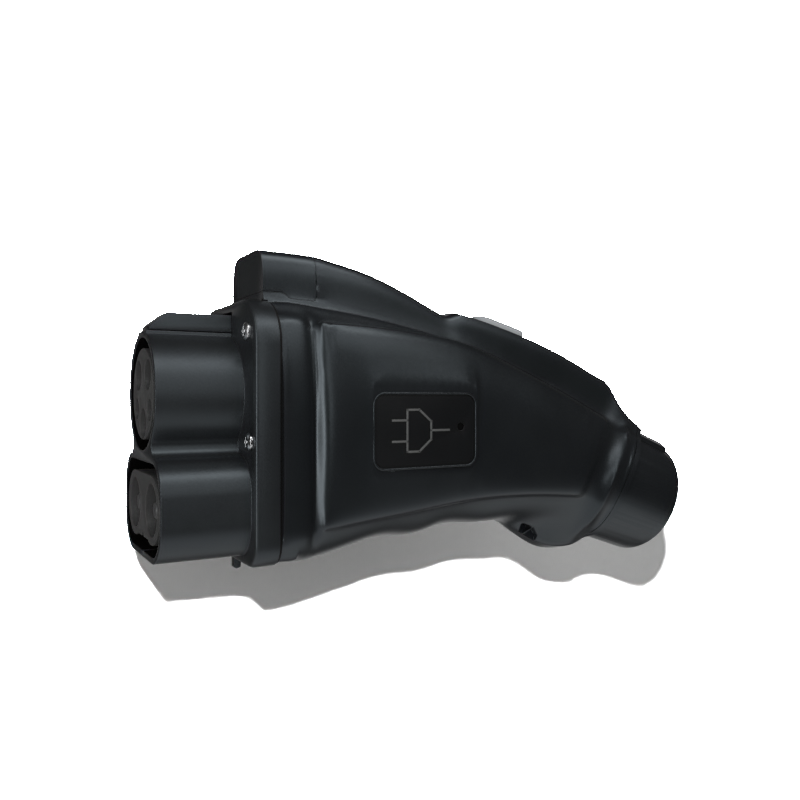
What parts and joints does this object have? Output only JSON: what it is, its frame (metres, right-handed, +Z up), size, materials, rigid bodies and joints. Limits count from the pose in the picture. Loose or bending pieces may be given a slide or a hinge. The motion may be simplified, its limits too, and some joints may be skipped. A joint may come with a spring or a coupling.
{
  "type": "ev charging adapter",
  "caption": "Hand-held electric car charging adapter: combined plug with latch arm, hooded grip body with a thumb button, and a round inlet barrel that slopes down at the rear.",
  "frame": {"origin": "centre of the plug's round upper barrel, on its front plane", "axes": "+X runs from the plug's front plane to the rear, +Z is up and -Y is the side with the name plate"},
  "size_m": [0.2568, 0.0732, 0.1321],
  "materials": {
    "shell": "satin moulded plastic",
    "insulator": "satin moulded plastic",
    "plate": "matte",
    "seal": "matte",
    "button": "satin",
    "tip": "satin",
    "window": "frosted",
    "contact": "silver plated",
    "busbar": "copper",
    "steel": "bright zinc",
    "board": "solder resist",
    "lead_green": "insulation",
    "lead_orange": "insulation"
  },
  "bodies": {
    "body": {"front_shroud": "shell", "ac_insert": "insulator", "dc_insert": "insulator", "ground_socket": "contact", "pilot_socket": "contact", "proximity_socket": "contact", "dc_contact_plus": "contact", "dc_contact_minus": "contact", "touch_tips": "tip", "flange_gasket": "seal", "flange_screws": "steel", "housing_near": "shell", "housing_far": "shell", "hood_cap": "shell", "housing_screws": "steel", "label_plate": "plate", "indicator_lens": "window", "latch_pin": "steel", "latch_spring": "steel", "micro_switch": "insulator", "control_board": "board", "busbar_plus": "busbar", "busbar_minus": "busbar", "ground_lead": "lead_green", "signal_leads": "lead_orange", "collar_ring": "shell", "inlet_barrel": "shell", "inlet_insert": "insulator", "inlet_power_pins": "contact", "inlet_ground_pin": "contact", "inlet_signal_pins": "contact", "inlet_gasket": "seal"},
    "button": {"thumb_button": "button"},
    "lever": {"latch_lever": "shell"}
  },
  "joints": [
    {"name": "button_press", "type": "slide", "parent": "body", "child": "button", "axis": [-0.2631, 0, -0.9648], "range_m": [0, 0.0035], "stiffness_N_per_m": 900, "springref_m": -0.001},
    {"name": "latch_lift", "type": "hinge", "parent": "body", "child": "lever", "pos_m": [0.058, 0, 0.0271], "axis": [0, 1, 0], "range_deg": [0, 2], "deforming": ["latch_spring"]}
  ],
  "couplings": [
    {"joint": "latch_lift", "follows": "button_press", "rad_per_m": 9.9381}
  ]
}
